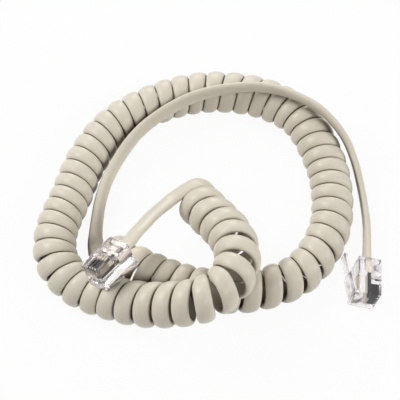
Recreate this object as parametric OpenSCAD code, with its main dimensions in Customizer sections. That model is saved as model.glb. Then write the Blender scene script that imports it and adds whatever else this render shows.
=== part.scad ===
// A coiled telephone handset cord with a clear 4P4C modular plug on each end,
// lying on a table in a loose loop. +Z is up and the table top is the plane z = 0.
// A plug's own frame: +X runs from its rear face to its nose, +Y across it, and +Z towards
// its contact face. Its origin is on the cord's centre line, at the rear face.

/* [Cord] */
// Width of the flat jacket
cord_w = 4.8; // [4.2:0.1:5]
// Thickness of the flat jacket
cord_t = 2.4; // [2.1:0.1:2.6]
// Outer diameter of the coil where it is closed
coil_d = 12; // [11.6:0.1:12.4]
// Least gap left between one curl and the next
curl_gap = 0.5; // [0.45:0.05:0.7]
// Depth of the flat where a curl stands on the table
seat_cut = 0.5; // [0.4:0.05:0.6]

/* [Plug body] */
// Length of the plug body, from its rear face to its nose
plug_l = 11.7; // [11.2:0.1:12.4]
// Width of the plug body
plug_w = 7.62; // [7.5:0.01:7.8]
// Height of the plug body, from its latch side to its contact face
plug_h = 6.6; // [6.4:0.1:6.9]
// Height of the cord's centre line above the latch side
cord_h = 3.4; // [3.2:0.1:3.6]
// Bevel on the nose's contact side
nose_bevel = 0.5; // [0.3:0.1:0.6]
// Width of the bevel along the body's long edges
edge_bevel = 0.35; // [0.2:0.05:0.5]
// Clearance round the cord and the anchors inside the body
fit_gap = 0.1; // [0.06:0.01:0.15]

/* [Cord end] */
// Length of jacket inside the plug
jacket_in = 4.3; // [4:0.1:4.8]
// Diameter of one insulated conductor
wire_d = 0.94; // [0.86:0.02:0.96]
// Distance from one conductor to the next
wire_pitch = 1.02; // [1:0.01:1.06]
// Thickness of plastic left between the conductors' ends and the nose
nose_wall = 0.7; // [0.6:0.1:1]

/* [Contacts] */
// Thickness of a contact blade
blade_t = 0.36; // [0.3:0.02:0.4]
// Length of a contact blade
blade_l = 3.4; // [3:0.1:3.6]
// Depth of a contact blade's top below the contact face
blade_sunk = 0.6; // [0.5:0.1:0.9]
// Cut across a contact blade's top front corner
blade_corner = 0.4; // [0.2:0.1:0.6]
// Clearance on each side of a contact blade in its slot
slot_gap = 0.06; // [0.05:0.01:0.08]

/* [Anchors] */
// Length of the window for the jacket anchor
anchor_l = 2.2; // [1.8:0.1:2.4]
// Distance from the rear face to the jacket anchor's window
anchor_x = 1.5; // [1.2:0.1:1.7]
// Thickness of the jacket anchor
anchor_t = 1.3; // [1:0.1:1.6]
// Length of the bar that holds the conductors down
bar_l = 1.1; // [0.9:0.1:1.3]
// Distance from the jacket's end to that bar
bar_gap = 0.7; // [0.6:0.1:0.9]
// Height of that bar
bar_h = 1.2; // [1:0.1:1.5]

/* [Latch] */
// Width of the latch's finger
latch_w = 3.25; // [3:0.05:3.4]
// Width of the latch's root, whose rear corners are the locking shoulders
root_w = 6; // [5.8:0.05:6.2]
// Length of the latch, from its hinge to its finger end
latch_l = 12.3; // [11.5:0.1:12.8]
// Distance from the hinge to the locking shoulders
shoulder_l = 5.7; // [5.4:0.1:6]
// Thickness of the latch's root
root_t = 0.7; // [0.6:0.05:0.8]
// Thickness of the finger
finger_t = 0.8; // [0.7:0.05:0.9]
// Angle between the free latch and the body
latch_open = 12; // [11:0.5:13]
// Radius of the rounded hinge edge
hinge_r = 0.45; // [0.4:0.05:0.5]
// Clearance round the hinge edge
hinge_gap = 0.12; // [0.1:0.01:0.15]
// Distance from the nose back to the hinge
hinge_back = 1.4; // [1.3:0.1:1.6]
// Drop from the latch side of the body to the hinge
hinge_drop = 0.5; // [0.5:0.05:0.7]

/* [Hidden] */

// All points of the route are given for a coil of this diameter. They spread out with it,
// and what lies on top of the coil rises with it.
ROUTE_COIL_D = 12;

// The coil's route. Each station is x, y, lift of the coil's underside off the table, curls
// wound so far, and how much larger than coil_d / 2 the coil's radius is there. Lead A leaves
// the first station and lead B the last.
COIL_ROUTE = [
    [-3.9, 0.6, 1, 0.5, 0.5],
    [0.4, -6.2, 4.4, 2, 0.5],
    [6.1, -15.5, 8.8, 4, 0.5],
    [8.2, -24, 12.2, 5.5, 0.5],
    [6.2, -32.2, 13.4, 7, 0.4],
    [-0.2, -36.8, 12.1, 8.5, 0.4],
    [-7.4, -37, 9.1, 10, 0.4],
    [-17.4, -34.8, 4.5, 12, 0.4],
    [-27.2, -30.8, 1.2, 14, 0.2],
    [-36, -26.2, 0, 16, 0.1],
    [-41.7, -19, 0, 18, 0.2],
    [-42.3, -10, 0, 20, 0.1],
    [-38.5, 2, 0, 23, 0],
    [-34, 14.5, 0, 26, 0],
    [-26.5, 25.5, 0, 29, 0],
    [-14.4, 33.2, 0, 32, 0],
    [-0.5, 37, 0, 35, 0],
    [14.5, 35.5, 0, 38, 0],
    [26.5, 28.5, 0, 41, 0],
    [32.8, 16, 0, 44, 0],
    [35.3, 3.5, 0, 47, 0],
    [33.8, -10.2, 0, 50, 0],
    [25.3, -23, 0, 53, 0],
    [10, -28.4, 0, 56, 0],
    [-5, -26.7, 0, 59, 0],
    [-17.8, -21.6, 0, 62, 0],
    [-22.8, -18.7, 0.1, 63, 0],
    [-26.2, -17.1, 0.3, 63.5, 0],
    [-30.4, -16.5, 0.5, 64, 0]
];

// Where each plug's origin is, and how it is turned. Plug B leans on one long edge on the
// table, where the cord holds it.
PLUG_A_ROUTE = [-23.1, -22.3, 19.2];
PLUG_A_TURN = [27, -3, -130];
PLUG_B_ROUTE = [44.4, -19.4];
PLUG_B_TURN = [-104, -4, -93];

// The free stretches of cord between the plugs and the coil: x, y, height of the centre line,
// and roll. At roll 0 the wide side lies level.
LEAD_A_ROUTE = [
    [-19.5, -17.1, 18.7, 27],
    [-17.7, -14.3, 17.6, 27],
    [-15.8, -11, 16.2, 25],
    [-13.9, -8.1, 14.7, 24],
    [-11.9, -5.4, 13.3, 22],
    [-10.2, -3.1, 12.2, 20]
];
LEAD_B_ROUTE = [
    [-31.4, -8.7, 1.9, 140],
    [-31, -4, 3.1, 126],
    [-30.2, 1, 4.4, 120],
    [-28.4, 6.9, 5.8, 115],
    [-26.1, 11.8, 6.7, 112],
    [-23.4, 16.4, 7.5, 112],
    [-20.2, 20.8, 8.2, 108],
    [-16.4, 24.4, 9.1, 105],
    [-11, 28, 10.4, 102],
    [-5, 30.8, 11.8, 99],
    [1.5, 32.4, 13, 94],
    [8.5, 33.1, 14, 88],
    [15, 33.1, 14.3, 86],
    [21.6, 31.8, 14.2, 81],
    [27.5, 29.1, 14.2, 74],
    [32.1, 26.3, 13.6, 71],
    [36.2, 22.8, 11.7, 73],
    [39.7, 18.8, 8.7, 76],
    [42.1, 13.6, 5.7, 79],
    [43.6, 7, 4, 82],
    [44.5, 0, 3.8, 85],
    [44.9, -7, 4, 91]
];

// How far lead A pulls the coil's first point aside, and over how many curls that dies out
PULL = [0.4, -1, 0];
PULL_CURLS = 0.25;

// Outline of the jacket as shares of its half width and half thickness, plain and rounded
BAND = [[0.6, 1], [1, 0], [0.6, -1], [-0.6, -1], [-1, 0], [-0.6, 1]];
OVAL = [
    [0.5, 1], [0.84, 0.76], [1, 0.3], [1, -0.3], [0.84, -0.76], [0.5, -1],
    [-0.5, -1], [-0.84, -0.76], [-1, -0.3], [-1, 0.3], [-0.84, 0.76], [-0.5, 1]
];

RINGS_PER_CURL = 8;
// A ring's radius is grown so that its flats, and not its corners, lie about on the round coil
RING_GROWTH = 1.04;
// Straight cord at each end of the coil, one cord width long
STUB = cord_w;
// Straight cord behind each plug
STRAIGHT = 2.5;
WIRES = 4;
// The black conductor's number in plug A and in plug B
BLACK_WIRE_A = 4;
BLACK_WIRE_B = 1;
// Height of a contact's two points above the conductors' centre line
POINT_Z = 0.1;
// Sides of the rounded hinge edge and of the conductors
HINGE_SIDES = 40;
WIRE_SIDES = 24;
// Step along the coil, in curls, over which its heading is measured
STEP = 0.01;
EPS = 0.01;
OVERCUT = 1;

latch_side = -cord_h;
contact_face = plug_h - cord_h;
spread = coil_d / ROUTE_COIL_D;
rise = coil_d - ROUTE_COIL_D;
COIL = spread_out(COIL_ROUTE);
LEAD_A = [for (p = LEAD_A_ROUTE) on_top(p)];
LEAD_B = spread_out(LEAD_B_ROUTE);
PLUG_A_AT = on_top(PLUG_A_ROUTE);
PLUG_B_AT = concat(spread * PLUG_B_ROUTE, -lowest_corner(PLUG_B_TURN));

first_turn = COIL[0][3];
last_turn = COIL[len(COIL) - 1][3];
wire_start = jacket_in;
wire_end = plug_l - nose_wall;
blade_front = plug_l - nose_wall;
blade_back = blade_front - blade_l;
blade_top = contact_face - blade_sunk;
bar_x = jacket_in + bar_gap;
hinge_x = plug_l - hinge_back;
hinge_z = latch_side - hinge_drop;
lug_drop = 2 * hinge_drop;
lug_w = root_w + 2 * hinge_gap + 2 * edge_bevel;

ivory = [0.81, 0.78, 0.71];
clear_plastic = [0.86, 0.89, 0.9, 0.45];
gold = [0.83, 0.66, 0.3];
pale_insulation = [0.8, 0.75, 0.62];
black_insulation = [0.08, 0.08, 0.08];

// ---- The coil's path ----

// Points with their x, y and z spread out, and whatever follows these kept
function spread_out(points) = [
    for (p = points) [for (k = [0 : len(p) - 1]) k < 3 ? p[k] * spread : p[k]]
];

// A point spread out, and lifted as much as the coil's top is
function on_top(p) = [
    for (k = [0 : len(p) - 1]) k < 2 ? p[k] * spread : k == 2 ? p[k] + rise : p[k]
];

function unit(v) = v / norm(v);

// Change per curl at station i
function slope(i) =
    let (a = max(i - 1, 0), b = min(i + 1, len(COIL) - 1))
    (COIL[b] - COIL[a]) / (COIL[b][3] - COIL[a][3]);

// The last station at or before a turn
function station_before(turn, i = 0) =
    i >= len(COIL) - 2 || turn < COIL[i + 1][3] ? i : station_before(turn, i + 1);

// A station between the listed ones, on a smooth curve through them
function station(turn) =
    let (
        i = station_before(turn),
        span = COIL[i + 1][3] - COIL[i][3],
        s = (turn - COIL[i][3]) / span
    )
    COIL[i] * (2 * pow(s, 3) - 3 * pow(s, 2) + 1)
    + COIL[i + 1] * (3 * pow(s, 2) - 2 * pow(s, 3))
    + slope(i) * span * (pow(s, 3) - 2 * pow(s, 2) + s)
    + slope(i + 1) * span * (pow(s, 3) - pow(s, 2));

function coil_radius(turn) = coil_d / 2 + station(turn)[4];

function coil_axis(turn) =
    let (p = station(turn))
    [p[0], p[1], p[2] + coil_d / 2 + p[4] - seat_cut];

function coil_heading(turn) = unit(coil_axis(turn + STEP) - coil_axis(turn - STEP));

// Away from the coil's axis. It points straight down at a whole turn.
function outward(turn) =
    let (
        ahead = coil_heading(turn),
        left = unit(cross([0, 0, 1], ahead)),
        up = cross(ahead, left)
    )
    -cos(360 * turn) * up - sin(360 * turn) * left;

// Middle of the jacket at a turn
function jacket_middle(turn, growth = 1) =
    coil_axis(turn) + (coil_radius(turn) - cord_t / 2) * growth * outward(turn)
    + PULL * pow(max(0, 1 - (turn - first_turn) / PULL_CURLS), 2);

function jacket_heading(turn) = unit(jacket_middle(turn + STEP) - jacket_middle(turn - STEP));

// Half the jacket's width towards the neighbouring curl that is one turn on or back
function half_width(turn, other, wide) =
    other < first_turn || other > last_turn
        ? cord_w / 2
        : min(cord_w / 2, (abs((jacket_middle(other) - jacket_middle(turn)) * wide) - curl_gap) / 2);

// A section of cord is [middle, direction of its width, direction of its thickness,
// half width on each side].
function curl_section(turn) =
    let (
        ahead = jacket_heading(turn),
        wide = unit(cross(ahead, outward(turn)))
    )
    [
        jacket_middle(turn, RING_GROWTH), wide, cross(wide, ahead),
        half_width(turn, turn - 1, wide), half_width(turn, turn + 1, wide)
    ];

// The same cord, moved straight along itself
function moved(section, offset) =
    [section[0] + offset, section[1], section[2], cord_w / 2, cord_w / 2];

coil_turns = [
    for (i = [floor(first_turn * RINGS_PER_CURL) : floor(last_turn * RINGS_PER_CURL) - 1])
        (i + 0.5) / RINGS_PER_CURL
];
start_heading = jacket_heading(first_turn);
end_heading = jacket_heading(last_turn);
coil_start = moved(curl_section(first_turn), -STUB * start_heading);
coil_end = moved(curl_section(last_turn), STUB * end_heading);
coil_sections = concat([coil_start], [for (turn = coil_turns) curl_section(turn)], [coil_end]);

// ---- Sections of the free stretches ----

// A vector turned as rotate() turns a solid
function turned(v, angles) =
    let (
        a = angles[0], b = angles[1], c = angles[2],
        p = [v[0], v[1] * cos(a) - v[2] * sin(a), v[1] * sin(a) + v[2] * cos(a)],
        q = [p[0] * cos(b) + p[2] * sin(b), p[1], p[2] * cos(b) - p[0] * sin(b)]
    )
    [q[0] * cos(c) - q[1] * sin(c), q[0] * sin(c) + q[1] * cos(c), q[2]];

// Height of a turned plug body's lowest corner above the plug's origin
function lowest_corner(angles) = min([
    for (x = [0, plug_l], y = [-plug_w / 2, plug_w / 2], z = [latch_side, contact_face])
        turned([x, y, z], angles)[2]
]);

function rolled(middle, ahead, roll) =
    let (
        side = unit(cross(ahead, [0, 0, 1])),
        up = cross(side, ahead),
        wide = cos(roll) * side + sin(roll) * up
    )
    [middle, wide, cross(wide, ahead), cord_w / 2, cord_w / 2];

function between(points, before, after) = [
    for (i = [0 : len(points) - 1])
        let (
            p = points[i],
            back = i == 0 ? before : points[i - 1],
            next = i == len(points) - 1 ? after : points[i + 1],
            ahead = unit([for (k = [0 : 2]) next[k] - back[k]])
        )
        rolled([p[0], p[1], p[2]], ahead, p[3])
];

nose_a = turned([1, 0, 0], PLUG_A_TURN);
nose_b = turned([1, 0, 0], PLUG_B_TURN);
roll_a = PLUG_A_TURN[0];
roll_b = -PLUG_B_TURN[0];

lead_a_sections = concat(
    [for (x = [jacket_in, 0, -STRAIGHT]) rolled(PLUG_A_AT + x * nose_a, -nose_a, roll_a)],
    between(LEAD_A, PLUG_A_AT - STRAIGHT * nose_a, coil_start[0]),
    [coil_start]
);
lead_b_sections = concat(
    [coil_end],
    between(LEAD_B, coil_end[0], PLUG_B_AT - STRAIGHT * nose_b),
    [for (x = [-STRAIGHT, 0, jacket_in]) rolled(PLUG_B_AT + x * nose_b, nose_b, roll_b)]
);

// ---- Solids of cord ----

// No point of the cord lies under the table
function on_table(p) = [p[0], p[1], max(p[2], 0)];

function section_points(section, outline) = [
    for (q = outline)
        on_table(section[0]
            + section[1] * q[0] * (q[0] < 0 ? section[3] : section[4])
            + section[2] * q[1] * cord_t / 2)
];

function ring_faces(i, n) = [
    for (k = [0 : n - 1])
        let (
            a = i * n + k, b = i * n + (k + 1) % n,
            c = a + n, d = b + n
        )
        each [[a, b, c], [b, d, c]]
];

module cord(sections, outline) {
    n = len(outline);
    last = (len(sections) - 1) * n;
    polyhedron(
        points = [for (s = sections) each section_points(s, outline)],
        faces = concat(
            [for (k = [1 : n - 2]) [0, k + 1, k]],
            [for (i = [0 : len(sections) - 2]) each ring_faces(i, n)],
            [for (k = [1 : n - 2]) [last, last + k, last + k + 1]]
        ),
        convexity = 10
    );
}

module coil() {
    color(ivory) cord(coil_sections, BAND);
}

module lead_a() {
    color(ivory) cord(lead_a_sections, OVAL);
}

module lead_b() {
    color(ivory) cord(lead_b_sections, OVAL);
}

// ---- The plug ----

module at_plug(name) {
    translate(name == "a" ? PLUG_A_AT : PLUG_B_AT)
        rotate(name == "a" ? PLUG_A_TURN : PLUG_B_TURN)
            children();
}

// An outline in a plug's X and Z, made into a plate of a width centred on Y
module plate(width, outline) {
    translate([0, width / 2, 0])
        rotate([90, 0, 0])
            linear_extrude(width) polygon(outline);
}

module block(from, to) {
    translate(from) cube(to - from);
}

function wire_y(i) = (i - (WIRES + 1) / 2) * wire_pitch;

// Side view of the body: square, with a bevel on the nose's contact side
module body_shape() {
    intersection() {
        plate(plug_w, [
            [0, latch_side], [plug_l, latch_side], [plug_l, contact_face - nose_bevel],
            [plug_l - nose_bevel, contact_face], [0, contact_face]
        ]);
        rotate([90, 0, 90]) linear_extrude(plug_l) long_edges_bevelled();
    }
}

module long_edges_bevelled() {
    y = plug_w / 2;
    polygon([
        [-y + edge_bevel, latch_side], [y - edge_bevel, latch_side],
        [y, latch_side + edge_bevel], [y, contact_face - edge_bevel],
        [y - edge_bevel, contact_face], [-y + edge_bevel, contact_face],
        [-y, contact_face - edge_bevel], [-y, latch_side + edge_bevel]
    ]);
}

// A bar under the nose, which carries the latch's hinge edge
module hinge_lug() {
    block(
        [hinge_x, -lug_w / 2, latch_side - lug_drop],
        [plug_l, lug_w / 2, latch_side + EPS]
    );
}

// A half-round seat for the hinge edge, in the rear side of the lug and just into the body
module hinge_seat() {
    translate([hinge_x, 0, hinge_z])
        rotate([90, 0, 0])
            cylinder(
                r = hinge_r + hinge_gap, h = lug_w + OVERCUT, center = true,
                $fn = HINGE_SIDES
            );
}

module jacket_channel() {
    w = cord_w / 2 + fit_gap;
    t = cord_t / 2 + fit_gap;
    block([-OVERCUT, -w, -t], [jacket_in + fit_gap, w, t]);
}

module wire_channel(i) {
    translate([wire_start, wire_y(i), 0])
        rotate([0, 90, 0])
            cylinder(
                d = wire_d + slot_gap, h = wire_end + slot_gap - wire_start,
                $fn = WIRE_SIDES
            );
}

module contact_slot(i) {
    half = blade_t / 2 + slot_gap;
    block(
        [blade_back - slot_gap, wire_y(i) - half, 0],
        [blade_front + slot_gap, wire_y(i) + half, contact_face + OVERCUT]
    );
}

module anchor_window() {
    w = cord_w / 2 + fit_gap;
    block([anchor_x, -w, 0], [anchor_x + anchor_l, w, contact_face + OVERCUT]);
}

module bar_window() {
    w = WIRES * wire_pitch / 2 + fit_gap;
    block([bar_x, -w, 0], [bar_x + bar_l, w, contact_face + OVERCUT]);
}

module housing() {
    color(clear_plastic)
    difference() {
        union() {
            body_shape();
            hinge_lug();
        }
        hinge_seat();
        jacket_channel();
        anchor_window();
        bar_window();
        for (i = [1 : WIRES]) {
            wire_channel(i);
            contact_slot(i);
        }
    }
}

// The latch, drawn level with the body and then let out to its free angle: a broad root that
// ends at the locking shoulders, and a narrow finger
module latch() {
    inner = hinge_drop / 2;
    color(clear_plastic)
    translate([hinge_x, 0, hinge_z])
        rotate([0, -latch_open, 0])
            union() {
                rotate([90, 0, 0])
                    cylinder(r = hinge_r, h = root_w, center = true, $fn = HINGE_SIDES);
                plate(root_w, [
                    [0, inner], [-shoulder_l, inner], [-shoulder_l, inner - root_t],
                    [-hinge_r - hinge_gap, inner - root_t], [0, -hinge_r / 2]
                ]);
                plate(latch_w, [
                    [EPS - shoulder_l, inner], [-latch_l, inner],
                    [-latch_l, inner - finger_t], [EPS - shoulder_l, inner - finger_t]
                ]);
            }
}

// The wedge that is pressed down on the jacket
module jacket_anchor() {
    w = cord_w / 2;
    x = anchor_x + fit_gap;
    end = anchor_x + anchor_l - fit_gap;
    top = cord_t / 2 + anchor_t;
    color(clear_plastic)
    plate(2 * w, [
        [x, cord_t / 2], [end, cord_t / 2], [end, top - edge_bevel],
        [end - edge_bevel, top], [x, top]
    ]);
}

// The bar that is pressed down on the conductors
module wire_bar() {
    w = WIRES * wire_pitch / 2;
    color(clear_plastic)
    block(
        [bar_x + fit_gap, -w, wire_d / 2],
        [bar_x + bar_l - fit_gap, w, wire_d / 2 + bar_h]
    );
}

// A gilt blade with two points that pierce the conductor under it. Its top front corner is
// cut away, where the jack's springs slide on.
module contact(i) {
    foot = wire_d / 2;
    point_w = blade_l / 5;
    color(gold)
    translate([0, wire_y(i), 0])
        plate(blade_t, [
            [blade_back, foot], [blade_back + point_w, POINT_Z], [blade_back + 2 * point_w, foot],
            [blade_front - 2 * point_w, foot], [blade_front - point_w, POINT_Z],
            [blade_front, foot], [blade_front, blade_top - blade_corner],
            [blade_front - blade_corner, blade_top], [blade_back, blade_top]
        ]);
}

module wire(i, black) {
    color(i == black ? black_insulation : pale_insulation)
    translate([wire_start, wire_y(i), 0])
        rotate([0, 90, 0])
            cylinder(d = wire_d, h = wire_end - wire_start, $fn = WIRE_SIDES);
}

// ---- What is drawn ----

// Least distance between points of two sections
function section_gap(p, q) = min([for (a = p, b = q) norm(a - b)]);

// Least distance from the coil's sections to those at least half a turn on
ring_points = [for (s = coil_sections) section_points(s, BAND)];
next_turn_gap = min([
    for (i = [0 : len(ring_points) - 1])
        for (j = [i + RINGS_PER_CURL - 2 : 1 : min(i + RINGS_PER_CURL + 2, len(ring_points) - 1)])
            section_gap(ring_points[i], ring_points[j])
]);
near_turns = [
    for (i = [0 : len(coil_sections) - 1])
        for (j = [i + 2 * RINGS_PER_CURL : 1 : len(coil_sections) - 1])
            if (norm(coil_sections[i][0] - coil_sections[j][0]) < cord_w + cord_t)
                section_gap(ring_points[i], ring_points[j])
];
echo(least_gap_of_the_coil_to_itself_mm = min(next_turn_gap, min(near_turns)));  // coil

coil();
lead_a();
lead_b();
for (name = ["a", "b"]) {
    black = name == "a" ? BLACK_WIRE_A : BLACK_WIRE_B;
    at_plug(name) housing();
    at_plug(name) latch();
    at_plug(name) jacket_anchor();
    at_plug(name) wire_bar();
    for (i = [1 : WIRES]) {
        at_plug(name) contact(i);
        at_plug(name) wire(i, black);
    }
}
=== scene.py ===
import math

import bmesh
import bpy
import numpy as np
from mathutils import Euler, Matrix, Vector


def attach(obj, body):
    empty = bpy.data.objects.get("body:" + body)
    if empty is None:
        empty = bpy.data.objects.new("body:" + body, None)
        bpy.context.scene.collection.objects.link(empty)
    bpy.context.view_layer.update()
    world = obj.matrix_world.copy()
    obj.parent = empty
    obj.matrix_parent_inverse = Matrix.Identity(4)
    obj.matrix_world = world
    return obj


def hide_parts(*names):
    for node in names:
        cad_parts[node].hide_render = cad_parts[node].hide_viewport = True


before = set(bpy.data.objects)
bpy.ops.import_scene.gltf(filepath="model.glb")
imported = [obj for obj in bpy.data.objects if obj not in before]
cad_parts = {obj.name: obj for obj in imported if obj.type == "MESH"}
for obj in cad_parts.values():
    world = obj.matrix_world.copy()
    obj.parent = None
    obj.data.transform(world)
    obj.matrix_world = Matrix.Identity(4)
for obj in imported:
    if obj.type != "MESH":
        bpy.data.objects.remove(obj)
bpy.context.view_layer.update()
scene = bpy.context.scene
MM = 0.001


# ---- Camera ----
# A long lens looks down at 60 degrees on the middle of the loop, from the side where both
# plugs lie.
LOOK_AT = Vector((-2, 4, 0)) * MM
CAMERA_DISTANCE = 600 * MM
CAMERA_ELEVATION = math.radians(60)
CAMERA_LENS = 189
CAMERA_SENSOR = 36
NEAREST_SEEN = 10 * MM

camera_data = bpy.data.cameras.new("camera")
camera_data.lens = CAMERA_LENS
camera_data.sensor_width = CAMERA_SENSOR
camera_data.clip_start = NEAREST_SEEN
camera = bpy.data.objects.new("camera", camera_data)
camera.location = LOOK_AT + CAMERA_DISTANCE * Vector(
    (0, -math.cos(CAMERA_ELEVATION), math.sin(CAMERA_ELEVATION))
)
camera.rotation_euler = (math.pi / 2 - CAMERA_ELEVATION, 0, 0)
scene.collection.objects.link(camera)
scene.camera = camera


# ---- Cord ----
# One flat-oval jacket of extruded PVC, clamped into a plug at each end. Its middle is heat-set
# round a mandrel into 63.5 left-handed curls, a little wider than the free leads, which press
# on each other where the loop is tight and stand apart where it is pulled open.
CORD_W = 4.8
CORD_T = 2.4
CURL_W = 5
LEAD_W = 4.6
LEAD_T = 2.3
COIL_D = 12

# Least air between two curls, and how far the table presses the curls' undersides flat
CURL_GAP = 0.1
SEAT_CUT = 0.5

# How far the jacket goes into a plug. All sizes and points here are in millimetres.
JACKET_IN = 4.3

# Middle of the coil: x, y, lift off the table, curls wound so far, and what is added to the
# coil's radius
X, Y, LIFT, CURLS, ADDED = range(5)
COIL_ROUTE = np.array([
    (-3.9, 0.6, 1, 0.5, 0.5),
    (0.4, -6.2, 4.4, 2, 0.5),
    (6.1, -15.5, 8.8, 4, 0.5),
    (8.2, -24, 12.2, 5.5, 0.5),
    (6.2, -32.2, 13.4, 7, 0.4),
    (-0.2, -36.8, 12.1, 8.5, 0.4),
    (-7.4, -37, 9.1, 10, 0.4),
    (-17.4, -34.8, 4.5, 12, 0.4),
    (-27.2, -30.8, 1.2, 14, 0.2),
    (-36, -26.2, 0, 16, 0.1),
    (-41.7, -19, 0, 18, 0.2),
    (-42.3, -10, 0, 20, 0.1),
    (-38.5, 2, 0, 23, 0),
    (-34, 14.5, 0, 26, 0),
    (-26.5, 25.5, 0, 29, 0),
    (-14.4, 33.2, 0, 32, 0),
    (-0.5, 37, 0, 35, 0),
    (14.5, 35.5, 0, 38, 0),
    (26.5, 28.5, 0, 41, 0),
    (32.8, 16, 0, 44, 0),
    (35.3, 3.5, 0, 47, 0),
    (33.8, -10.2, 0, 50, 0),
    (25.3, -23, 0, 53, 0),
    (10, -28.4, 0, 56, 0),
    (-5, -26.7, 0, 59, 0),
    (-17.8, -21.6, 0, 62, 0),
    (-22.8, -18.7, 0.1, 63, 0),
    (-26.2, -17.1, 0.3, 63.5, 0),
    (-30.4, -16.5, 0.5, 64, 0),
])

# Middle of the free leads, and how far their wide side is rolled from level, in degrees
ROLL = 3
LEAD_A_ROUTE = np.array([
    (-19.5, -17.1, 18.7, 27),
    (-17.7, -14.3, 17.6, 27),
    (-15.8, -11, 16.2, 25),
    (-13.9, -8.1, 14.7, 24),
    (-11.9, -5.4, 13.3, 22),
    (-10.2, -3.1, 12.2, 20),
])
LEAD_B_ROUTE = np.array([
    (-31.4, -8.7, 1.9, 140),
    (-31, -4, 3.1, 126),
    (-30.2, 1, 4.4, 120),
    (-28.4, 6.9, 5.8, 115),
    (-26.1, 11.8, 6.7, 112),
    (-23.4, 16.4, 7.5, 112),
    (-20.2, 20.8, 8.2, 108),
    (-16.4, 24.4, 9.1, 105),
    (-11, 28, 10.4, 102),
    (-5, 30.8, 11.8, 99),
    (1.5, 32.4, 13, 94),
    (8.5, 33.1, 14, 88),
    (15, 33.1, 14.3, 86),
    (21.6, 31.8, 14.2, 81),
    (27.5, 29.1, 14.2, 74),
    (32.1, 26.3, 13.6, 71),
    (36.2, 22.8, 11.7, 73),
    (39.7, 18.8, 8.7, 76),
    (42.1, 13.6, 5.7, 79),
    (43.6, 7, 4, 82),
    (44.5, 0, 3.8, 85),
    (44.9, -7, 4, 91),
])
PLUG_A_AT = np.array((-23.1, -22.3, 19.2))
PLUG_A_TURN = (27, -3, -130)
PLUG_B_AT = np.array((44.4, -19.4, 4.46))
PLUG_B_TURN = (-104, -4, -93)

FIRST_TURN = COIL_ROUTE[0, CURLS]
LAST_TURN = COIL_ROUTE[-1, CURLS]
UP = np.array((0, 0, 1))

# Where lead A pulls the coil's first end, and the part of a curl that gives way to it
PULL = np.array((0.4, -1, 0))
PULL_CURLS = 0.25

# How far a lead runs straight on from its plug's mouth
STRAIGHT = 2.5

# The part of a curl over which its direction is taken
SMALL_TURN = 0.01


def unit(v):
    return v / np.linalg.norm(v, axis=-1, keepdims=True)


def along(v, w):
    return np.sum(v * w, axis=-1, keepdims=True)


def slopes(rows, knots):
    last = len(rows) - 1
    before = np.maximum(np.arange(last + 1) - 1, 0)
    after = np.minimum(np.arange(last + 1) + 1, last)
    return (rows[after] - rows[before]) / (knots[after] - knots[before])[:, None]


def smooth(rows, slope, i, span, s):
    """The smooth curve from row i to the next one, at shares s of the span between them."""
    return (
        rows[i] * (2 * s**3 - 3 * s**2 + 1)
        + rows[i + 1] * (3 * s**2 - 2 * s**3)
        + slope[i] * span * (s**3 - 2 * s**2 + s)
        + slope[i + 1] * span * (s**3 - s**2)
    )


def coil_station(turn):
    """The coil route at some turns, on a smooth curve through its listed stations."""
    curls = COIL_ROUTE[:, CURLS]
    i = np.clip(np.searchsorted(curls, turn, side="right") - 1, 0, len(curls) - 2)
    span = (curls[i + 1] - curls[i])[:, None]
    s = (turn - curls[i])[:, None] / span
    return smooth(COIL_ROUTE, slopes(COIL_ROUTE, curls), i, span, s)


def coil_axis(turn):
    station = coil_station(turn)
    height = station[:, LIFT] + COIL_D / 2 + station[:, ADDED] - SEAT_CUT
    return np.column_stack((station[:, X], station[:, Y], height))


def curl_outward(turn):
    """Away from the coil's middle. It points straight down at a whole turn."""
    ahead = unit(coil_axis(turn + SMALL_TURN) - coil_axis(turn - SMALL_TURN))
    left = unit(np.cross(UP, ahead))
    up = np.cross(ahead, left)
    angle = 2 * np.pi * turn[:, None]
    return -np.cos(angle) * up - np.sin(angle) * left


def curl_middle(turn):
    radius = COIL_D / 2 + coil_station(turn)[:, ADDED, None] - CORD_T / 2
    pull = np.maximum(0, 1 - (turn - FIRST_TURN) / PULL_CURLS)[:, None] ** 2
    return coil_axis(turn) + radius * curl_outward(turn) + PULL * pull


def curl_wide(turn):
    ahead = unit(curl_middle(turn + SMALL_TURN) - curl_middle(turn - SMALL_TURN))
    return unit(np.cross(ahead, curl_outward(turn)))


def curl_half_width(turn, step):
    """Half the jacket's width towards the curl one turn on or back. Curls never overlap."""
    other = turn + step
    there = np.clip(other, FIRST_TURN, LAST_TURN)
    pitch = np.abs(along(curl_middle(there) - curl_middle(turn), curl_wide(turn)))[:, 0]
    half = np.minimum(CURL_W / 2, (pitch - CURL_GAP) / 2)
    return np.where((other < FIRST_TURN) | (other > LAST_TURN), CORD_W / 2, half)


def lead_wide(ahead, roll):
    side = unit(np.cross(ahead, UP))
    up = np.cross(side, ahead)
    roll = np.radians(roll)[..., None]
    return np.cos(roll) * side + np.sin(roll) * up


def plug_rotation(turn):
    return Euler([math.radians(degrees) for degrees in turn]).to_matrix()


def plug_nose(turn):
    """The way that a plug's nose points."""
    return np.array(plug_rotation(turn) @ Vector((1, 0, 0)))


# Each section of the cord is one row: its middle, the direction of its wide side, its half
# width towards the curl before and the curl after, and its half thickness
MIDDLE = slice(0, 3)
WIDE = slice(3, 6)
HALF_BACK, HALF_ON, HALF_THICK = 6, 7, 8
CURL_STEPS = 40
turns = np.linspace(FIRST_TURN, LAST_TURN, int((LAST_TURN - FIRST_TURN) * CURL_STEPS) + 1)
coil_sections = np.column_stack((
    curl_middle(turns), curl_wide(turns), curl_half_width(turns, -1), curl_half_width(turns, 1),
    np.full(len(turns), CORD_T / 2),
))

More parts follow.
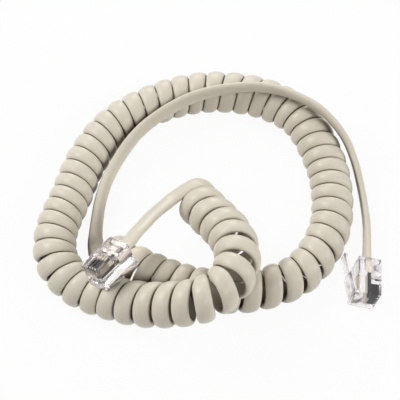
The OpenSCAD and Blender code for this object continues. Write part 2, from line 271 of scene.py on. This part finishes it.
# The leads run through the same points as in the CAD model. Each takes a few of the coil's own
# sections with it, so that the join is smooth.
nose_a = plug_nose(PLUG_A_TURN)
nose_b = plug_nose(PLUG_B_TURN)

# The straight stretch at a plug: the jacket's end inside, the plug's mouth, and outside it
at_plug = np.array((JACKET_IN, 0, -STRAIGHT))[:, None]
straight_rows = len(at_plug)
start_a = PLUG_A_AT + at_plug * nose_a
end_b = PLUG_B_AT + at_plug[::-1] * nose_b

# The points one jacket's width beyond the coil's two ends
coil_middle = coil_sections[:, MIDDLE]
coil_start = coil_middle[0] - CORD_W * unit(coil_middle[1] - coil_middle[0])
coil_end = coil_middle[-1] + CORD_W * unit(coil_middle[-1] - coil_middle[-2])

points_a = np.concatenate((start_a, LEAD_A_ROUTE[:, MIDDLE], coil_start[None]))
ahead_a = unit(np.gradient(points_a, axis=0))
ahead_a[:straight_rows] = -nose_a
rolls_a = np.concatenate(([PLUG_A_TURN[0]] * straight_rows, LEAD_A_ROUTE[:, ROLL]))
wide_a = np.concatenate((lead_wide(ahead_a[:-1], rolls_a), coil_sections[:1, WIDE]))

points_b = np.concatenate((coil_end[None], LEAD_B_ROUTE[:, MIDDLE], end_b))
ahead_b = unit(np.gradient(points_b, axis=0))
ahead_b[-straight_rows:] = nose_b
rolls_b = np.concatenate((LEAD_B_ROUTE[:, ROLL], [-PLUG_B_TURN[0]] * straight_rows))
wide_b = np.concatenate((coil_sections[-1:, WIDE], lead_wide(ahead_b[1:], rolls_b)))

# How many of the coil's sections go with a lead, and how far apart they are taken
JOIN = 3
JOIN_STEP = 4


def lead_rows(points, wide):
    halves = np.tile((LEAD_W / 2, LEAD_W / 2, LEAD_T / 2), (len(points), 1))
    return np.column_stack((points, wide, halves))


join_a = coil_sections[0:JOIN * JOIN_STEP:JOIN_STEP]
join_b = coil_sections[-1 - (JOIN - 1) * JOIN_STEP::JOIN_STEP]
rows_a = np.concatenate((lead_rows(points_a, wide_a), join_a))
rows_b = np.concatenate((join_b, lead_rows(points_b, wide_b)))
RING_SPACING = 0.7


def sampled(rows, first, last):
    """Rows on a smooth curve through the given ones, from row first up to row last.

    The knots are the roots of the distances, which keeps the curve from looping where two
    points are close together.
    """
    roots = np.sqrt(np.linalg.norm(np.diff(rows[:, MIDDLE], axis=0), axis=1))
    knots = np.concatenate(((0,), np.cumsum(roots)))
    slope = slopes(rows, knots)
    out = []
    for i in range(first, last):
        span = knots[i + 1] - knots[i]
        count = max(2, round(span**2 / RING_SPACING))
        s = np.arange(count)[:, None] / count
        out.append(smooth(rows, slope, i, span, s))
    return np.concatenate(out)


lead_a_rows = sampled(rows_a, 0, len(points_a))
lead_b_rows = sampled(rows_b, JOIN - 1, JOIN - 1 + len(points_b))
lead_b_rows = np.concatenate((lead_b_rows[1:], rows_b[-1:]))
sections = np.concatenate((lead_a_rows, coil_sections, lead_b_rows))
middle = sections[:, MIDDLE]
ahead = unit(np.gradient(middle, axis=0))
across = sections[:, WIDE]
wide = unit(across - along(across, ahead) * ahead)
thick = np.cross(wide, ahead)

# The jacket's outline is a squarish oval: at a squareness of 2 it would be an ellipse. Under
# the curls it is pressed flat on the table.
OUTLINE_POINTS = 24
OUTLINE_SQUARENESS = 2.1
SEAT_SOFTNESS = 0.3
round_it = np.linspace(0, 2 * np.pi, OUTLINE_POINTS, endpoint=False)


def squarish(wave):
    return np.sign(wave) * np.abs(wave) ** (2 / OUTLINE_SQUARENESS)


outline_x = squarish(np.cos(round_it))
outline_z = squarish(np.sin(round_it))
half_wide = np.where(outline_x < 0, sections[:, HALF_BACK, None], sections[:, HALF_ON, None])
half_thick = sections[:, HALF_THICK, None]
skin = (
    middle[:, None]
    + (outline_x * half_wide)[..., None] * wide[:, None]
    + (outline_z * half_thick)[..., None] * thick[:, None]
)
height = skin[..., 2]
skin[..., 2] = (height + np.sqrt(height**2 + SEAT_SOFTNESS**2)) / 2

# A tube through all the sections. A point in the middle of each end closes it.
rings, sides = skin.shape[:2]
faces = []
for r in range(rings - 1):
    for k in range(sides):
        a, b = r * sides + k, r * sides + (k + 1) % sides
        faces.append((a, b, b + sides, a + sides))
first_hub, last_hub = rings * sides, rings * sides + 1
for k in range(sides):
    faces.append((first_hub, (k + 1) % sides, k))
    end = (rings - 1) * sides
    faces.append((last_hub, end + k, end + (k + 1) % sides))
vertices = np.concatenate((skin.reshape(-1, 3), middle[:1], middle[-1:])) * MM

cord_mesh = bpy.data.meshes.new("coiled_cord")
cord_mesh.from_pydata(vertices.tolist(), [], faces)
run = np.concatenate(((0,), np.cumsum(np.linalg.norm(np.diff(middle, axis=0), axis=1)))) * MM

# UV: metres along the cord, and the share of the way round it
layer = cord_mesh.uv_layers.new(name="along_the_cord")
uv = np.zeros((len(cord_mesh.loops), 2))
quads = (rings - 1) * sides
ring_of = np.repeat(np.arange(rings - 1), sides)
side_of = np.tile(np.arange(sides), rings - 1)
for corner, (up_one, on_one) in enumerate(((0, 0), (0, 1), (1, 1), (1, 0))):
    uv[corner:quads * 4:4, 0] = run[ring_of + up_one]
    uv[corner:quads * 4:4, 1] = (side_of + on_one) / sides
layer.data.foreach_set("uv", uv.ravel())

# Painted shade on the coil's inside, the half of the jacket that faces the coil's axis, where
# the curls shade it: how dark, and how soon past the jacket's edge
INSIDE_SHADE = 0.45
INSIDE_EDGE = 1.5
painted_inside_shade = np.zeros((rings, sides))
curled = slice(len(lead_a_rows), len(lead_a_rows) + len(coil_sections))
painted_inside_shade[curled] = INSIDE_SHADE * np.clip(-INSIDE_EDGE * outline_z, 0, 1)
inside_coil = cord_mesh.attributes.new("inside_coil", "FLOAT", "POINT")
inside_coil.data.foreach_set("value", np.concatenate((painted_inside_shade.ravel(), (0, 0))))

# 1 where the jacket sits inside a plug, where no shade is painted on it
rings_in_a_plug = (run < JACKET_IN * MM) | (run > run[-1] - JACKET_IN * MM)
in_a_plug = cord_mesh.attributes.new("in_a_plug", "FLOAT", "POINT")
in_a_plug.data.foreach_set("value", np.concatenate((np.repeat(rings_in_a_plug, sides), (1, 1))))
cord_mesh.shade_smooth()
cord = bpy.data.objects.new("coiled_cord", cord_mesh)
scene.collection.objects.link(cord)


def linear(hex_colour):
    """An sRGB hex colour as the linear values that shaders take."""
    shares = [int(hex_colour[i:i + 2], 16) / 255 for i in (0, 2, 4)]
    return [
        *(c / 12.92 if c <= 0.04045 else ((c + 0.055) / 1.055) ** 2.4 for c in shares), 1,
    ]


def add(tree, kind, links=(), **settings):
    """Adds a node with its settings. links is pairs of an input and what feeds it."""
    node = tree.nodes.new(kind)
    for name, value in settings.items():
        setattr(node, name, value)
    for name, source in links:
        if isinstance(source, bpy.types.NodeSocket):
            tree.links.new(source, node.inputs[name])
        else:
            node.inputs[name].default_value = source
    return node


def new_material(name):
    material = bpy.data.materials.new(name)
    material.use_nodes = True
    material.node_tree.nodes.clear()
    return material, material.node_tree


# Plasticised PVC, extruded: satin, with faint die lines along it. Painted shade darkens its
# ivory to dark brown in the grooves between the curls and inside the coil, where the curls shade
# each
# other: fully where little of what is round a spot is open, and not at all where much of it is
# open, at the two shares given below.
IVORY_TONES = ("DED5C2", "E5DDCD")
IVORY_PATCH = 100 / 9
PAINTED_SHADE_BROWN = "4A3614"
SHADE_REACH = 7
FULL_SHADE_BELOW = 0.1
NO_SHADE_ABOVE = 0.68
SATIN = (0.22, 0.34)
PVC_IOR = 1.53
JACKET_GIRTH = 11.9
DIE_LINE_W = 0.17
DIE_LINE_L = 10
DIE_LINE_DEPTH = 0.05
ivory_pvc, tree = new_material("ivory_pvc_jacket")
place = add(tree, "ShaderNodeUVMap", uv_map="along_the_cord")
die_lines_per = (1 / (DIE_LINE_L * MM), JACKET_GIRTH / DIE_LINE_W, 1)
stretched = add(
    tree, "ShaderNodeMapping", [("Vector", place.outputs["UV"]), ("Scale", die_lines_per)]
)
die_lines = add(
    tree, "ShaderNodeTexNoise",
    [("Vector", stretched.outputs["Vector"]), ("Scale", 1), ("Detail", 3), ("Roughness", 0.6)],
)
spot = add(tree, "ShaderNodeTexCoord")
patches = add(
    tree, "ShaderNodeTexNoise", [
        ("Vector", spot.outputs["Object"]), ("Scale", 1 / (IVORY_PATCH * MM)), ("Detail", 3),
        ("Roughness", 0.5),
    ],
)
ivory_tone = add(
    tree, "ShaderNodeMix", [
        ("Factor", patches.outputs["Fac"]), ("A", linear(IVORY_TONES[0])),
        ("B", linear(IVORY_TONES[1])),
    ],
    data_type="RGBA",
)
# Painted shade: ambient occlusion finds where the curls shade each other
crevice = add(tree, "ShaderNodeAmbientOcclusion", [("Distance", SHADE_REACH * MM)], samples=12)
openness = add(
    tree, "ShaderNodeMapRange", [
        ("Value", crevice.outputs["AO"]), ("From Min", FULL_SHADE_BELOW), ("From Max", NO_SHADE_ABOVE),
    ],
    interpolation_type="SMOOTHSTEP",
)
# Painted shade on the coil's inside, taken off the share left unshaded
inside = add(tree, "ShaderNodeAttribute", attribute_name="inside_coil")
inside_unshaded = add(tree, "ShaderNodeMath", [(0, 1), (1, inside.outputs["Fac"])], operation="SUBTRACT")
outside = add(
    tree, "ShaderNodeMath", [(0, openness.outputs["Result"]), (1, inside_unshaded.outputs["Value"])],
    operation="MULTIPLY",
)
# Inside a plug no shade is painted on the jacket
in_plug_flag = add(tree, "ShaderNodeAttribute", attribute_name="in_a_plug")
unshaded_share = add(
    tree, "ShaderNodeMath", [(0, outside.outputs["Value"]), (1, in_plug_flag.outputs["Fac"])],
    operation="MAXIMUM",
)
# The ivory, painted down to dark brown as painted shade
tone = add(
    tree, "ShaderNodeMix", [
        ("Factor", unshaded_share.outputs["Value"]), ("A", linear(PAINTED_SHADE_BROWN)),
        ("B", ivory_tone.outputs["Result"]),
    ],
    data_type="RGBA",
)
gloss = add(
    tree, "ShaderNodeMapRange",
    [("Value", die_lines.outputs["Fac"]), ("To Min", SATIN[0]), ("To Max", SATIN[1])],
)
relief = add(
    tree, "ShaderNodeBump", [
        ("Height", die_lines.outputs["Fac"]), ("Strength", 0.15),
        ("Distance", DIE_LINE_DEPTH * MM),
    ],
)
skin_shader = add(
    tree, "ShaderNodeBsdfPrincipled", [
        ("Base Color", tone.outputs["Result"]), ("Roughness", gloss.outputs["Result"]),
        ("Normal", relief.outputs["Normal"]), ("IOR", PVC_IOR), ("Specular IOR Level", 0.3),
    ],
)
add(tree, "ShaderNodeOutputMaterial", [("Surface", skin_shader.outputs["BSDF"])])
cord_mesh.materials.append(ivory_pvc)
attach(cord, "cord")
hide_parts("coil", "lead_a", "lead_b")


# ---- Plugs ----
# Two 4P4C plugs moulded in clear polycarbonate. Each body is one block with slots for four
# gilt blades and windows for the wedge and the bar that hold the cord.
EDGE_RADIUS = 0.12
EDGE_STEPS = 2
MERGE_WITHIN = 0.002

# Faces that meet at less than the first angle become one, edges over the second are rounded,
# and the shading breaks over the third
FLAT_WITHIN = math.radians(1)
ROUNDED_OVER = math.radians(28)
CREASED_OVER = math.radians(40)


def moulded(node, body):
    """A copy of a CAD solid with its sharp edges rounded, as they come out of a mould."""
    name = node + "_moulding"
    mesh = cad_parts[node].data.copy()
    mesh.name = name
    bm = bmesh.new()
    bm.from_mesh(mesh)
    bmesh.ops.remove_doubles(bm, verts=bm.verts, dist=MERGE_WITHIN * MM)
    bmesh.ops.dissolve_limit(
        bm, angle_limit=FLAT_WITHIN, verts=bm.verts, edges=bm.edges, delimit=set()
    )
    bm.to_mesh(mesh)
    bm.free()
    raw = bpy.data.objects.new(name + "_raw", mesh)
    scene.collection.objects.link(raw)
    rounding = raw.modifiers.new("rounding", "BEVEL")
    rounding.width = EDGE_RADIUS * MM
    rounding.segments = EDGE_STEPS
    rounding.limit_method = "ANGLE"
    rounding.angle_limit = ROUNDED_OVER
    rounding.use_clamp_overlap = True
    depsgraph = bpy.context.evaluated_depsgraph_get()
    finished = bpy.data.meshes.new_from_object(raw.evaluated_get(depsgraph))
    finished.name = name
    bpy.data.objects.remove(raw)
    finished.materials.clear()
    finished.shade_smooth()
    finished.set_sharp_from_angle(angle=CREASED_OVER)
    piece = bpy.data.objects.new(name, finished)
    scene.collection.objects.link(piece)
    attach(piece, body)
    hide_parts(node)
    return piece


# Polycarbonate: glass-clear and glossy, with faint ripples from the mould's flow. Lamps light
# what is inside through it.
CLEAR = "FAF6F7"
LAMPLIGHT_THROUGH = "DFE0E1"
POLYCARBONATE_IOR = 1.58
RIPPLE_SIZE = 10 / 7
RIPPLE_DEPTH = 0.05
clear_pc, tree = new_material("clear_polycarbonate")
spot = add(tree, "ShaderNodeTexCoord")
ripples = add(
    tree, "ShaderNodeTexNoise", [
        ("Vector", spot.outputs["Object"]), ("Scale", 1 / (RIPPLE_SIZE * MM)), ("Detail", 2),
        ("Roughness", 0.5),
    ],
)
ripple = add(
    tree, "ShaderNodeBump", [
        ("Height", ripples.outputs["Fac"]), ("Strength", 0.12), ("Distance", RIPPLE_DEPTH * MM),
    ],
)
clear_shader = add(
    tree, "ShaderNodeBsdfPrincipled", [
        ("Base Color", linear(CLEAR)), ("Roughness", 0.1), ("IOR", POLYCARBONATE_IOR),
        ("Transmission Weight", 0.97), ("Normal", ripple.outputs["Normal"]),
    ],
)
lamps_through = add(tree, "ShaderNodeBsdfTransparent", [("Color", linear(LAMPLIGHT_THROUGH))])
ray = add(tree, "ShaderNodeLightPath")
clear_mix = add(
    tree, "ShaderNodeMixShader", [
        ("Fac", ray.outputs["Is Shadow Ray"]), (1, clear_shader.outputs["BSDF"]),
        (2, lamps_through.outputs["BSDF"]),
    ],
)
add(tree, "ShaderNodeOutputMaterial", [("Surface", clear_mix.outputs["Shader"])])

for letter in "ab":
    for part, body in (
        ("housing", "cord"), ("jacket_anchor", "cord"), ("wire_bar", "cord"),
        ("latch", f"plug_{letter}_latch"),
    ):
        piece = moulded(f"plug_{letter}_{part}", body)
        piece.data.materials.append(clear_pc)


# ---- Contacts ----
# Four blades in each plug, stamped from phosphor bronze and pressed down until their two points
# pierce the conductor underneath. The cut front corner is where the jack's springs slide on.
# The plastic closes on a pressed blade with no air between, so each fills its slot.
BLADE_FRONT = 11.07
BLADE_L = 3.54
BLADE_T = 0.5
BLADE_CORNER = 0.4
BLADE_EDGE = 0.04

# Heights above the plug's middle: the contact face, how far the blade is sunk below it, and
# the blade's foot and points
CONTACT_FACE = 3.2
BLADE_SUNK = 0.6
BLADE_FOOT = 0.47
BLADE_POINT = 0.1
ROW_PITCH = 1.02
ROW_COUNT = 4

# A row of equal pieces across a plug, centred on it
row_tree = bpy.data.node_groups.new("row_across_plug", "GeometryNodeTree")
for name, kind in (
    ("Piece", "Geometry"), ("Count", "Int"), ("Pitch", "Float"), ("First", "Float"),
    ("Finish", "Material"),
):
    row_tree.interface.new_socket(name, in_out="INPUT", socket_type="NodeSocket" + kind)
row_tree.interface.new_socket("Row", in_out="OUTPUT", socket_type="NodeSocketGeometry")
given = add(row_tree, "NodeGroupInput")
start_at = add(row_tree, "ShaderNodeCombineXYZ", [("Y", given.outputs["First"])])
one_step = add(row_tree, "ShaderNodeCombineXYZ", [("Y", given.outputs["Pitch"])])
places = add(
    row_tree, "GeometryNodeMeshLine", [
        ("Count", given.outputs["Count"]), ("Start Location", start_at.outputs["Vector"]),
        ("Offset", one_step.outputs["Vector"]),
    ],
)
copies = add(
    row_tree, "GeometryNodeInstanceOnPoints",
    [("Points", places.outputs["Mesh"]), ("Instance", given.outputs["Piece"])],
)
real = add(row_tree, "GeometryNodeRealizeInstances", [("Geometry", copies.outputs["Instances"])])
finished_row = add(
    row_tree, "GeometryNodeSetMaterial",
    [("Geometry", real.outputs["Geometry"]), ("Material", given.outputs["Finish"])],
)
add(row_tree, "NodeGroupOutput", [("Row", finished_row.outputs["Geometry"])])

PLUGS = {"a": (PLUG_A_AT, PLUG_A_TURN), "b": (PLUG_B_AT, PLUG_B_TURN)}


def row_in_plug(name, letter, mesh, nodes, finish):
    """One copy of a mesh for each of a plug's numbered nodes, which stand side by side."""
    first_number = int(nodes[0][-1])
    row = bpy.data.objects.new(name, mesh)
    scene.collection.objects.link(row)
    maker = row.modifiers.new("row", "NODES")
    maker.node_group = row_tree
    values = {
        "Count": len(nodes), "Pitch": ROW_PITCH * MM, "Finish": finish,
        "First": (first_number - (ROW_COUNT + 1) / 2) * ROW_PITCH * MM,
    }
    for item in row_tree.interface.items_tree:
        if item.in_out == "INPUT" and item.name in values:
            maker[item.identifier] = values[item.name]
    shape = bpy.data.meshes.new_from_object(
        row.evaluated_get(bpy.context.evaluated_depsgraph_get())
    )
    row.modifiers.remove(maker)
    shape.name = name
    at, turn = PLUGS[letter]
    shape.transform(Matrix.Translation(Vector(at) * MM) @ plug_rotation(turn).to_4x4())
    row.data = shape
    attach(row, "cord")
    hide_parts(*nodes)


BEVELLED_OVER = math.radians(30)


def rounded(name, corners, depth, axis, edge):
    """A flat outline given a depth along an axis, with its edges rounded."""
    bm = bmesh.new()
    lift = Vector(axis) * depth / 2 * MM
    outline = bm.faces.new([bm.verts.new(Vector(c) * MM - lift) for c in corners])
    pushed = bmesh.ops.extrude_face_region(bm, geom=[outline])["geom"]
    bmesh.ops.translate(
        bm, verts=[v for v in pushed if isinstance(v, bmesh.types.BMVert)], vec=lift * 2
    )
    bmesh.ops.recalc_face_normals(bm, faces=bm.faces)
    turned_edges = [e for e in bm.edges if e.calc_face_angle() > BEVELLED_OVER]
    bmesh.ops.bevel(
        bm, geom=turned_edges, offset=edge * MM, segments=EDGE_STEPS, profile=0.5,
        affect="EDGES", clamp_overlap=True,
    )
    mesh = bpy.data.meshes.new(name)
    bm.to_mesh(mesh)
    bm.free()
    mesh.shade_smooth()
    mesh.set_sharp_from_angle(angle=CREASED_OVER)
    return mesh


blade_back = BLADE_FRONT - BLADE_L
blade_top = CONTACT_FACE - BLADE_SUNK

# Each point stands one fifth of the blade's length in from an end
fifth = BLADE_L / 5
blade_outline = [
    (blade_back, 0, BLADE_FOOT),
    (blade_back + fifth, 0, BLADE_POINT),
    (blade_back + 2 * fifth, 0, BLADE_FOOT),
    (BLADE_FRONT - 2 * fifth, 0, BLADE_FOOT),
    (BLADE_FRONT - fifth, 0, BLADE_POINT),
    (BLADE_FRONT, 0, BLADE_FOOT),
    (BLADE_FRONT, 0, blade_top - BLADE_CORNER),
    (BLADE_FRONT - BLADE_CORNER, 0, blade_top),
    (blade_back, 0, blade_top),
]
blade_mesh = rounded("blade", blade_outline, BLADE_T, (0, 1, 0), BLADE_EDGE)

# How high on the blade a point is, in millimetres, for the material to read
blade_height = blade_mesh.attributes.new("blade_height", "FLOAT", "POINT")
blade_height.data.foreach_set("value", [vertex.co.z / MM for vertex in blade_mesh.vertices])

# Gilt phosphor bronze, painted nearly black at the contact edge: painted shade and painted dark
# reflection, for the shadow in the slots and the dark that the blades reflect. Plug A's blades
# are pale below it, and plug B's are painted dark all over. Scuffs vary the gloss. They are
# drawn coarser than real ones, so that they show.
PALE_BRONZE = "C2B29C"
PAINTED_DARK = "0F0C08"
PAINTED_DARK_BLUR = 0.3
PALE_UP_TO = {"a": 1.7, "b": -0.5}
SCUFF_SIZE = 0.4
SCUFFED = (0.25, 0.4)
for letter, pale_up_to in PALE_UP_TO.items():
    bronze, tree = new_material(f"gilt_bronze_plug_{letter}")
    spot = add(tree, "ShaderNodeTexCoord")
    scuffs = add(
        tree, "ShaderNodeTexNoise",
        [("Vector", spot.outputs["Object"]), ("Scale", 1 / (SCUFF_SIZE * MM)), ("Detail", 2)],
    )
    wear = add(
        tree, "ShaderNodeMapRange",
        [("Value", scuffs.outputs["Fac"]), ("To Min", SCUFFED[0]), ("To Max", SCUFFED[1])],
    )
    level = add(tree, "ShaderNodeAttribute", attribute_name="blade_height")
    # How much painted shade and dark reflection, by height on the blade
    dark_share = add(
        tree, "ShaderNodeMapRange", [
            ("Value", level.outputs["Fac"]), ("From Min", pale_up_to),
            ("From Max", pale_up_to + PAINTED_DARK_BLUR),
        ],
    )
    metal = add(
        tree, "ShaderNodeMix", [
            ("Factor", dark_share.outputs["Result"]), ("A", linear(PALE_BRONZE)),
            ("B", linear(PAINTED_DARK)),
        ],
        data_type="RGBA",
    )
    bronze_shader = add(
        tree, "ShaderNodeBsdfPrincipled", [
            ("Base Color", metal.outputs["Result"]), ("Metallic", 1.0),
            ("Roughness", wear.outputs["Result"]),
        ],
    )
    add(tree, "ShaderNodeOutputMaterial", [("Surface", bronze_shader.outputs["BSDF"])])
    contacts = [f"plug_{letter}_contact_{i}" for i in range(1, ROW_COUNT + 1)]
    row_in_plug(
        f"plug_{letter}_blades", letter, blade_mesh, contacts, bronze
    )


# ---- Conductors ----
# Four insulated conductors, laid side by side under the blades and tight in their channels.
# One is black, and the others look pale through the clear plastic.
WIRE_D = 1.01
WIRE_START = JACKET_IN
WIRE_END = BLADE_FRONT
WIRE_SIDES = 24
WIRE_EDGE = 0.06
BLACK_WIRE = {"a": 4, "b": 1}
wire_middle = (WIRE_START + WIRE_END) / 2
wire_outline = [
    (wire_middle, WIRE_D / 2 * math.cos(a), WIRE_D / 2 * math.sin(a))
    for a in np.linspace(0, 2 * np.pi, WIRE_SIDES, endpoint=False)
]
wire_mesh = rounded("conductor", wire_outline, WIRE_END - WIRE_START, (1, 0, 0), WIRE_EDGE)

# Extruded plastic insulation: even in colour, with hardly any shine. Its grain is drawn coarser
# than the real one, so that it shows.
GRAIN_SIZE = 1 / 3
DULL = (0.35, 0.5)
insulation = {}
for name, hex_colour in (("pale_insulation", "D2C6B4"), ("black_insulation", "0C0B0B")):
    insulation[name], tree = new_material(name)
    spot = add(tree, "ShaderNodeTexCoord")
    grain = add(
        tree, "ShaderNodeTexNoise",
        [("Vector", spot.outputs["Object"]), ("Scale", 1 / (GRAIN_SIZE * MM)), ("Detail", 2)],
    )
    sheen = add(
        tree, "ShaderNodeMapRange",
        [("Value", grain.outputs["Fac"]), ("To Min", DULL[0]), ("To Max", DULL[1])],
    )
    wire_shader = add(
        tree, "ShaderNodeBsdfPrincipled", [
            ("Base Color", linear(hex_colour)), ("Roughness", sheen.outputs["Result"]),
            ("Specular IOR Level", 0.1),
        ],
    )
    add(tree, "ShaderNodeOutputMaterial", [("Surface", wire_shader.outputs["BSDF"])])

for letter, black in BLACK_WIRE.items():
    pale = [f"plug_{letter}_wire_{i}" for i in range(1, ROW_COUNT + 1) if i != black]
    row_in_plug(
        f"plug_{letter}_pale_conductors", letter, wire_mesh, pale,
        insulation["pale_insulation"],
    )
    row_in_plug(
        f"plug_{letter}_black_conductor", letter, wire_mesh, [f"plug_{letter}_wire_{black}"],
        insulation["black_insulation"],
    )


# ---- Table and light ----
# A sheet of matt white paper on a table, which the camera sees as plain white with a trace of
# the cord's shadow. A faint even sky and eight soft round lamps stand over it.

# The paper's half width, in metres
PAPER_REACH = 3
floor_mesh = bpy.data.meshes.new("white_table")
floor_mesh.from_pydata([
    (-PAPER_REACH, -PAPER_REACH, 0), (PAPER_REACH, -PAPER_REACH, 0),
    (PAPER_REACH, PAPER_REACH, 0), (-PAPER_REACH, PAPER_REACH, 0),
], [], [(0, 1, 2, 3)])
floor = bpy.data.objects.new("white_table", floor_mesh)
scene.collection.objects.link(floor)

# Less than the Diffuse Depth of 1 that a ray has after its first dull bounce
NO_DULL_BOUNCE = 0.5


def seen(tree):
    """1 for what is seen, also in gloss and through clear plastic, and 0 for light on the cord.

    A ray that has bounced off something dull, such as the jacket in a plug, counts as light.
    """
    ray = add(tree, "ShaderNodeLightPath")
    mirrored = add(
        tree, "ShaderNodeMath",
        [(0, ray.outputs["Is Glossy Ray"]), (1, ray.outputs["Is Transmission Ray"])],
        operation="MAXIMUM",
    )
    looked = add(
        tree, "ShaderNodeMath", [(0, ray.outputs["Is Camera Ray"]), (1, mirrored.outputs[0])],
        operation="MAXIMUM",
    )
    not_scattered = add(
        tree, "ShaderNodeMath", [(0, ray.outputs["Diffuse Depth"]), (1, NO_DULL_BOUNCE)],
        operation="LESS_THAN",
    )
    both = add(
        tree, "ShaderNodeMath", [(0, looked.outputs[0]), (1, not_scattered.outputs[0])],
        operation="MULTIPLY",
    )
    return both.outputs[0]


# The paper is nearly all plain white to the camera, and the rest of it shows the shadow
WHITE_SHARE = 0.94
PAPER = "F4F4F2"
PLAIN_WHITE = (1, 1, 1, 1)
white_paper, tree = new_material("white_paper")
share = add(tree, "ShaderNodeMath", [(0, seen(tree)), (1, WHITE_SHARE)], operation="MULTIPLY")
paper = add(tree, "ShaderNodeBsdfDiffuse", [("Color", linear(PAPER))])
glow = add(tree, "ShaderNodeEmission", [("Color", PLAIN_WHITE), ("Strength", 1.0)])
paper_mix = add(
    tree, "ShaderNodeMixShader", [
        ("Fac", share.outputs[0]), (1, paper.outputs["BSDF"]), (2, glow.outputs["Emission"]),
    ],
)
add(tree, "ShaderNodeOutputMaterial", [("Surface", paper_mix.outputs["Shader"])])
floor_mesh.materials.append(white_paper)

world = bpy.data.worlds.new("studio")
scene.world = world
world.use_nodes = True
tree = world.node_tree
tree.nodes.clear()
SKY = 0.04
brightness = add(
    tree, "ShaderNodeMapRange", [("Value", seen(tree)), ("To Min", SKY), ("To Max", 1.0)]
)
sky = add(
    tree, "ShaderNodeBackground",
    [("Color", PLAIN_WHITE), ("Strength", brightness.outputs["Result"])],
)
add(tree, "ShaderNodeOutputWorld", [("Surface", sky.outputs["Background"])])

# Azimuth round the cord (0 is the camera's side), elevation, and power in watts. Lamp sizes and
# distances are in metres.
LAMPS = (
    ("key", -112, 45, 4.8),
    ("right", 90, 18, 2.9),
    ("rim", 180, 18, 2.3),
    ("front_right", 68, 45, 2),
    ("front", 22, 45, 1.5),
    ("front_left", -68, 45, 1.2),
    ("back_left", -158, 45, 0.9),
    ("low_left", -135, 18, 0.6),
)
LAMP_SIZE = 0.5
LAMP_DISTANCE = 1
for name, azimuth, elevation, power in LAMPS:
    lamp_data = bpy.data.lights.new(name, "AREA")
    lamp_data.shape = "DISK"
    lamp_data.size = LAMP_SIZE
    lamp_data.energy = power
    lamp = bpy.data.objects.new(name, lamp_data)
    a, e = math.radians(azimuth), math.radians(elevation)
    towards = Vector((math.sin(a) * math.cos(e), -math.cos(a) * math.cos(e), math.sin(e)))
    lamp.location = LOOK_AT + LAMP_DISTANCE * towards
    lamp.rotation_euler = towards.to_track_quat("Z", "Y").to_euler()
    scene.collection.objects.link(lamp)

scene.view_settings.view_transform = "Standard"
